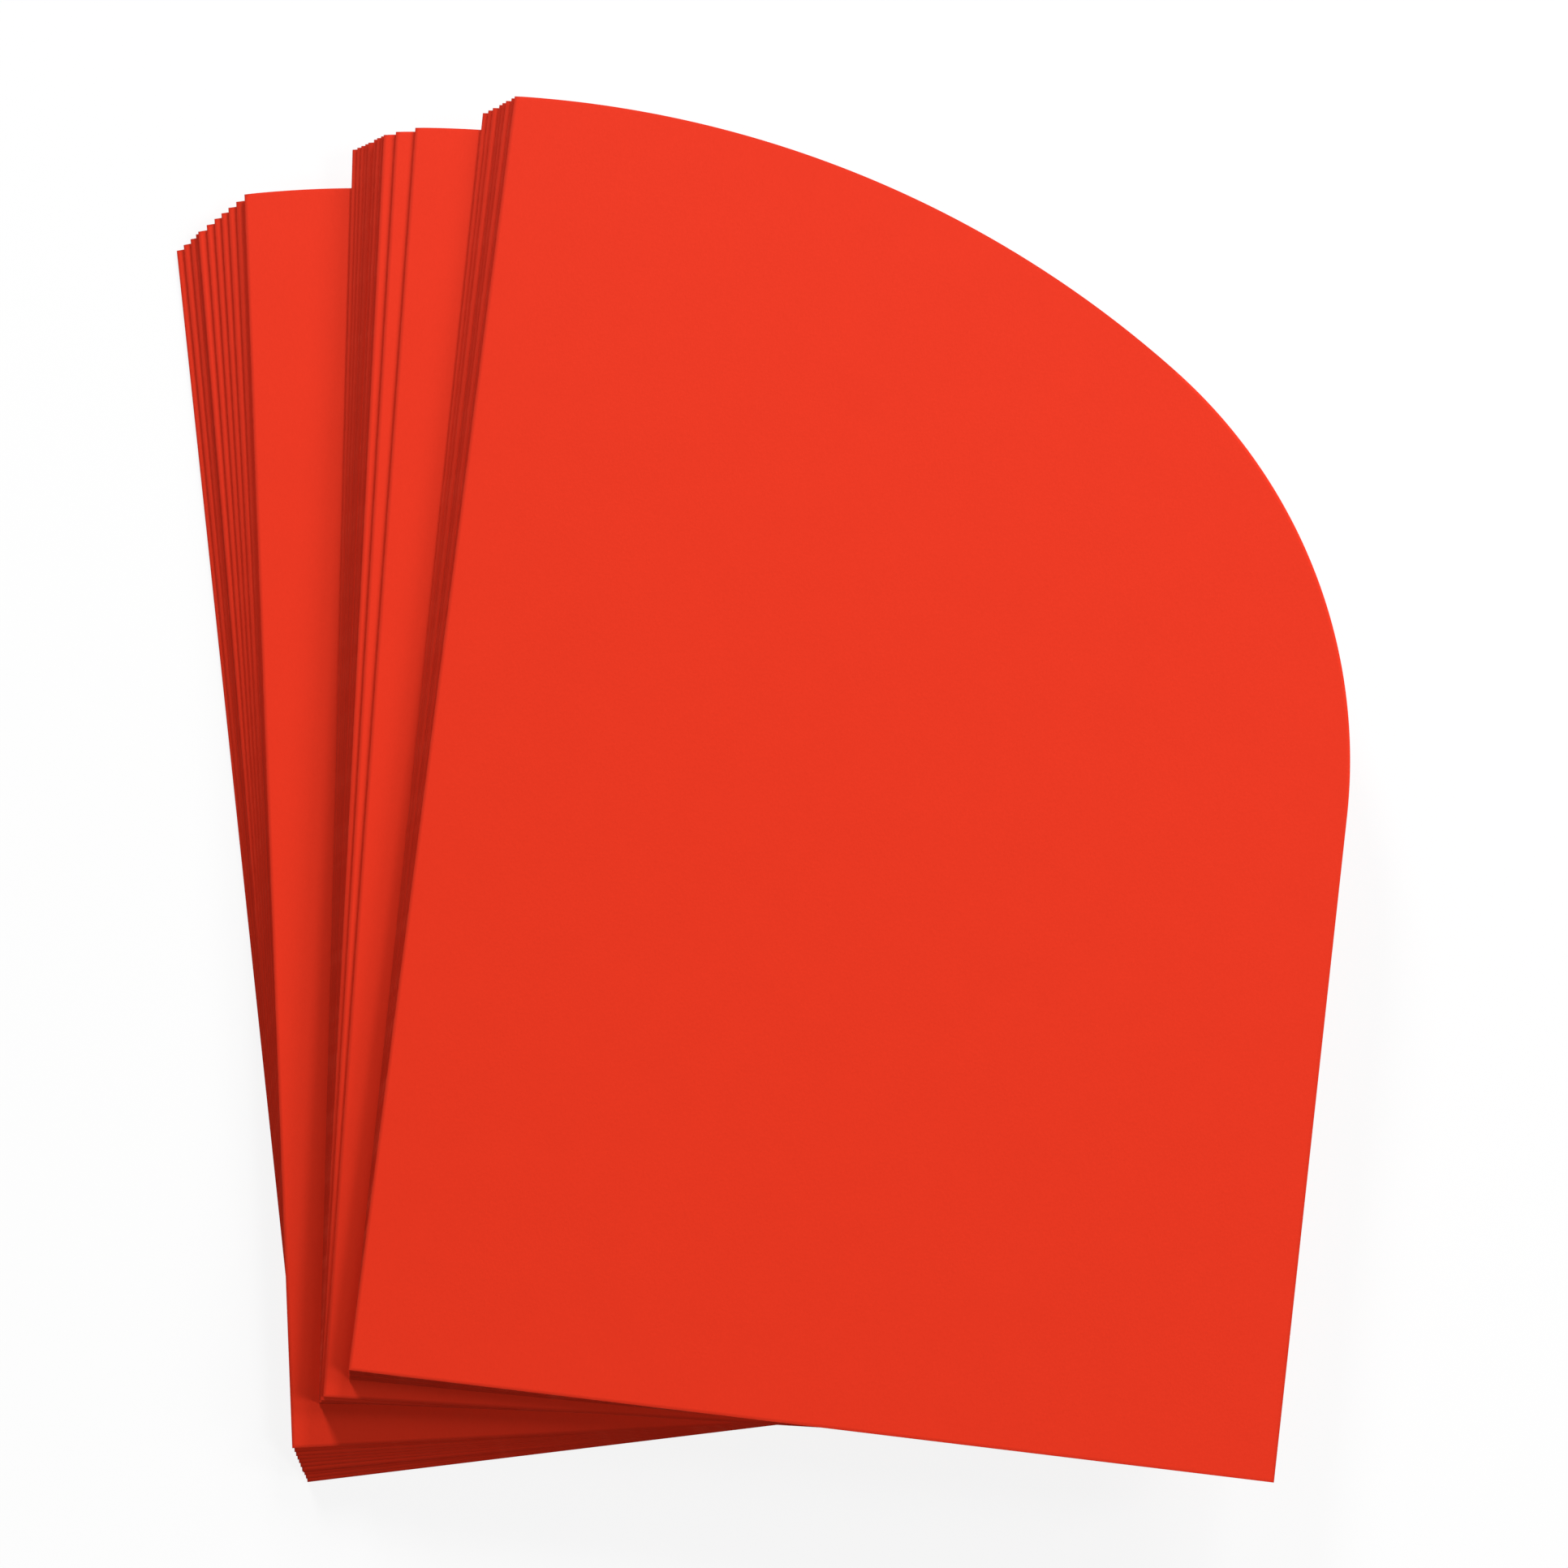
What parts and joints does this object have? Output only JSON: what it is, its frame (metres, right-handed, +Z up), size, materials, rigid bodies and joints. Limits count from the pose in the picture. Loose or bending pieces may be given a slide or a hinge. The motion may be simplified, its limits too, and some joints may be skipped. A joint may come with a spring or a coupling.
{
  "type": "pack of arched card blanks",
  "caption": "Fanned pack of loose flat card blanks with square corners and a large arched corner; the packets turn to square up or to fan out further.",
  "frame": {"origin": "on the table, under the middle of the fanned pack's bounding box", "axes": "+Z up through the stack of cards, +Y along the cards' height towards their arched ends, +X to the right as the pack is read from above"},
  "size_m": [0.1666, 0.1949, 0.0102],
  "materials": {
    "card": "matt uncoated, dyed through"
  },
  "bodies": {
    "lower_card_01": {"lower_card_01": "card"},
    "lower_card_02": {"lower_card_02": "card"},
    "lower_card_03": {"lower_card_03": "card"},
    "lower_card_04": {"lower_card_04": "card"},
    "lower_card_05": {"lower_card_05": "card"},
    "lower_card_06": {"lower_card_06": "card"},
    "lower_card_07": {"lower_card_07": "card"},
    "lower_card_08": {"lower_card_08": "card"},
    "lower_card_09": {"lower_card_09": "card"},
    "lower_card_10": {"lower_card_10": "card"},
    "lower_card_11": {"lower_card_11": "card"},
    "lower_card_12": {"lower_card_12": "card"},
    "middle_card_01": {"middle_card_01": "card"},
    "middle_card_02": {"middle_card_02": "card"},
    "middle_card_03": {"middle_card_03": "card"},
    "middle_card_04": {"middle_card_04": "card"},
    "middle_card_05": {"middle_card_05": "card"},
    "middle_card_06": {"middle_card_06": "card"},
    "middle_card_07": {"middle_card_07": "card"},
    "middle_card_08": {"middle_card_08": "card"},
    "middle_card_09": {"middle_card_09": "card"},
    "middle_card_10": {"middle_card_10": "card"},
    "middle_card_11": {"middle_card_11": "card"},
    "middle_card_12": {"middle_card_12": "card"},
    "upper_card_01": {"upper_card_01": "card"},
    "upper_card_02": {"upper_card_02": "card"},
    "upper_card_03": {"upper_card_03": "card"},
    "upper_card_04": {"upper_card_04": "card"},
    "upper_card_05": {"upper_card_05": "card"},
    "upper_card_06": {"upper_card_06": "card"},
    "upper_card_07": {"upper_card_07": "card"},
    "upper_card_08": {"upper_card_08": "card"}
  },
  "joints": [
    {"name": "lower_card_02_turn", "type": "hinge", "parent": "lower_card_01", "child": "lower_card_02", "pos_m": [0.02519, -0.07892, 0.00047], "axis": [0, 0, -1], "range_deg": [-0.45, 0.66]},
    {"name": "lower_card_03_turn", "type": "hinge", "parent": "lower_card_01", "child": "lower_card_03", "pos_m": [0.02513, -0.07862, 0.00079], "axis": [0, 0, -1], "range_deg": [-0.84, 1.27]},
    {"name": "lower_card_04_turn", "type": "hinge", "parent": "lower_card_01", "child": "lower_card_04", "pos_m": [0.02508, -0.07838, 0.00111], "axis": [0, 0, -1], "range_deg": [-1.16, 1.76]},
    {"name": "lower_card_05_turn", "type": "hinge", "parent": "lower_card_01", "child": "lower_card_05", "pos_m": [0.02505, -0.07826, 0.00143], "axis": [0, 0, -1], "range_deg": [-1.32, 2]},
    {"name": "lower_card_06_turn", "type": "hinge", "parent": "lower_card_01", "child": "lower_card_06", "pos_m": [0.02497, -0.0779, 0.00175], "axis": [0, 0, -1], "range_deg": [-1.79, 2.73]},
    {"name": "lower_card_07_turn", "type": "hinge", "parent": "lower_card_01", "child": "lower_card_07", "pos_m": [0.0249, -0.07757, 0.00207], "axis": [0, 0, -1], "range_deg": [-2.23, 3.4]},
    {"name": "lower_card_08_turn", "type": "hinge", "parent": "lower_card_01", "child": "lower_card_08", "pos_m": [0.02483, -0.07727, 0.00239], "axis": [0, 0, -1], "range_deg": [-2.62, 4.01]},
    {"name": "lower_card_09_turn", "type": "hinge", "parent": "lower_card_01", "child": "lower_card_09", "pos_m": [0.02476, -0.07697, 0.00271], "axis": [0, 0, -1], "range_deg": [-3.02, 4.62]},
    {"name": "lower_card_10_turn", "type": "hinge", "parent": "lower_card_01", "child": "lower_card_10", "pos_m": [0.02469, -0.07663, 0.00303], "axis": [0, 0, -1], "range_deg": [-3.46, 5.29]},
    {"name": "lower_card_11_turn", "type": "hinge", "parent": "lower_card_01", "child": "lower_card_11", "pos_m": [0.0246, -0.07626, 0.00335], "axis": [0, 0, -1], "range_deg": [-3.95, 6.05]},
    {"name": "lower_packet_fan", "type": "hinge", "parent": "lower_card_01", "child": "lower_card_12", "pos_m": [0.0246, -0.07626, 0.00367], "axis": [0, 0, -1], "range_deg": [-3.9, 6]},
    {"name": "middle_card_01_turn", "type": "hinge", "parent": "lower_card_01", "child": "middle_card_01", "pos_m": [0.02971, -0.10969, 0.00399], "axis": [0, 0, -1], "range_deg": [-7.75, 7.49]},
    {"name": "middle_card_02_turn", "type": "hinge", "parent": "lower_card_01", "child": "middle_card_02", "pos_m": [0.02854, -0.10999, 0.00431], "axis": [0, 0, -1], "range_deg": [-7.96, 7.69]},
    {"name": "middle_card_03_turn", "type": "hinge", "parent": "lower_card_01", "child": "middle_card_03", "pos_m": [0.02761, -0.11021, 0.00463], "axis": [0, 0, -1], "range_deg": [-8.13, 7.86]},
    {"name": "middle_card_04_turn", "type": "hinge", "parent": "lower_card_01", "child": "middle_card_04", "pos_m": [0.02672, -0.11043, 0.00495], "axis": [0, 0, -1], "range_deg": [-8.31, 8.03]},
    {"name": "middle_card_05_turn", "type": "hinge", "parent": "lower_card_01", "child": "middle_card_05", "pos_m": [0.02603, -0.1106, 0.00527], "axis": [0, 0, -1], "range_deg": [-8.45, 8.16]},
    {"name": "middle_card_06_turn", "type": "hinge", "parent": "lower_card_01", "child": "middle_card_06", "pos_m": [0.02481, -0.11088, 0.00559], "axis": [0, 0, -1], "range_deg": [-8.71, 8.42]},
    {"name": "middle_card_07_turn", "type": "hinge", "parent": "lower_card_01", "child": "middle_card_07", "pos_m": [0.02481, -0.11088, 0.00591], "axis": [0, 0, -1], "range_deg": [-8.71, 8.42]},
    {"name": "middle_card_08_turn", "type": "hinge", "parent": "lower_card_01", "child": "middle_card_08", "pos_m": [0.0242, -0.11103, 0.00623], "axis": [0, 0, -1], "range_deg": [-8.85, 8.55]},
    {"name": "middle_card_09_turn", "type": "hinge", "parent": "lower_card_01", "child": "middle_card_09", "pos_m": [0.02345, -0.1112, 0.00655], "axis": [0, 0, -1], "range_deg": [-9.02, 8.72]},
    {"name": "middle_card_10_turn", "type": "hinge", "parent": "lower_card_01", "child": "middle_card_10", "pos_m": [0.02295, -0.11132, 0.00687], "axis": [0, 0, -1], "range_deg": [-9.14, 8.84]},
    {"name": "middle_card_11_turn", "type": "hinge", "parent": "lower_card_01", "child": "middle_card_11", "pos_m": [0.02107, -0.11173, 0.00719], "axis": [0, 0, -1], "range_deg": [-9.63, 9.31]},
    {"name": "middle_packet_fan", "type": "hinge", "parent": "lower_card_01", "child": "middle_card_12", "pos_m": [0.01849, -0.11227, 0.00751], "axis": [0, 0, -1], "range_deg": [-10.35, 10]},
    {"name": "upper_card_01_turn", "type": "hinge", "parent": "lower_card_01", "child": "upper_card_01", "pos_m": [0.01932, -0.12402, 0.00783], "axis": [0, 0, -1], "range_deg": [-12.35, 12.62]},
    {"name": "upper_card_02_turn", "type": "hinge", "parent": "lower_card_01", "child": "upper_card_02", "pos_m": [0.01935, -0.12357, 0.00815], "axis": [0, 0, -1], "range_deg": [-12.59, 12.86]},
    {"name": "upper_card_03_turn", "type": "hinge", "parent": "lower_card_01", "child": "upper_card_03", "pos_m": [0.01937, -0.12321, 0.00847], "axis": [0, 0, -1], "range_deg": [-12.79, 13.07]},
    {"name": "upper_card_04_turn", "type": "hinge", "parent": "lower_card_01", "child": "upper_card_04", "pos_m": [0.0194, -0.12272, 0.00879], "axis": [0, 0, -1], "range_deg": [-13.07, 13.36]},
    {"name": "upper_card_05_turn", "type": "hinge", "parent": "lower_card_01", "child": "upper_card_05", "pos_m": [0.01941, -0.12247, 0.00911], "axis": [0, 0, -1], "range_deg": [-13.21, 13.5]},
    {"name": "upper_card_06_turn", "type": "hinge", "parent": "lower_card_01", "child": "upper_card_06", "pos_m": [0.01943, -0.1222, 0.00943], "axis": [0, 0, -1], "range_deg": [-13.37, 13.66]},
    {"name": "upper_card_07_turn", "type": "hinge", "parent": "lower_card_01", "child": "upper_card_07", "pos_m": [0.01946, -0.1218, 0.00975], "axis": [0, 0, -1], "range_deg": [-13.61, 13.91]},
    {"name": "upper_packet_fan", "type": "hinge", "parent": "lower_card_01", "child": "upper_card_08", "pos_m": [0.01947, -0.12156, 0.01007], "axis": [0, 0, -1], "range_deg": [-13.7, 14]}
  ],
  "couplings": [
    {"joint": "lower_card_02_turn", "follows": "lower_packet_fan", "ratio": 0.10152},
    {"joint": "lower_card_03_turn", "follows": "lower_packet_fan", "ratio": 0.20305},
    {"joint": "lower_card_04_turn", "follows": "lower_packet_fan", "ratio": 0.28426},
    {"joint": "lower_card_05_turn", "follows": "lower_packet_fan", "ratio": 0.32487},
    {"joint": "lower_card_06_turn", "follows": "lower_packet_fan", "ratio": 0.4467},
    {"joint": "lower_card_07_turn", "follows": "lower_packet_fan", "ratio": 0.55838},
    {"joint": "lower_card_08_turn", "follows": "lower_packet_fan", "ratio": 0.6599},
    {"joint": "lower_card_09_turn", "follows": "lower_packet_fan", "ratio": 0.76142},
    {"joint": "lower_card_10_turn", "follows": "lower_packet_fan", "ratio": 0.8731},
    {"joint": "lower_card_11_turn", "follows": "lower_packet_fan", "ratio": 1},
    {"joint": "middle_card_01_turn", "follows": "middle_packet_fan", "ratio": 0.74396},
    {"joint": "middle_card_02_turn", "follows": "middle_packet_fan", "ratio": 0.76417},
    {"joint": "middle_card_03_turn", "follows": "middle_packet_fan", "ratio": 0.78102},
    {"joint": "middle_card_04_turn", "follows": "middle_packet_fan", "ratio": 0.79786},
    {"joint": "middle_card_05_turn", "follows": "middle_packet_fan", "ratio": 0.81134},
    {"joint": "middle_card_06_turn", "follows": "middle_packet_fan", "ratio": 0.83661},
    {"joint": "middle_card_07_turn", "follows": "middle_packet_fan", "ratio": 0.83661},
    {"joint": "middle_card_08_turn", "follows": "middle_packet_fan", "ratio": 0.85008},
    {"joint": "middle_card_09_turn", "follows": "middle_packet_fan", "ratio": 0.86693},
    {"joint": "middle_card_10_turn", "follows": "middle_packet_fan", "ratio": 0.87872},
    {"joint": "middle_card_11_turn", "follows": "middle_packet_fan", "ratio": 0.92588},
    {"joint": "upper_card_01_turn", "follows": "upper_packet_fan", "ratio": 0.89781},
    {"joint": "upper_card_02_turn", "follows": "upper_packet_fan", "ratio": 0.91533},
    {"joint": "upper_card_03_turn", "follows": "upper_packet_fan", "ratio": 0.92993},
    {"joint": "upper_card_04_turn", "follows": "upper_packet_fan", "ratio": 0.95036},
    {"joint": "upper_card_05_turn", "follows": "upper_packet_fan", "ratio": 0.96058},
    {"joint": "upper_card_06_turn", "follows": "upper_packet_fan", "ratio": 0.97226},
    {"joint": "upper_card_07_turn", "follows": "upper_packet_fan", "ratio": 0.98978}
  ]
}
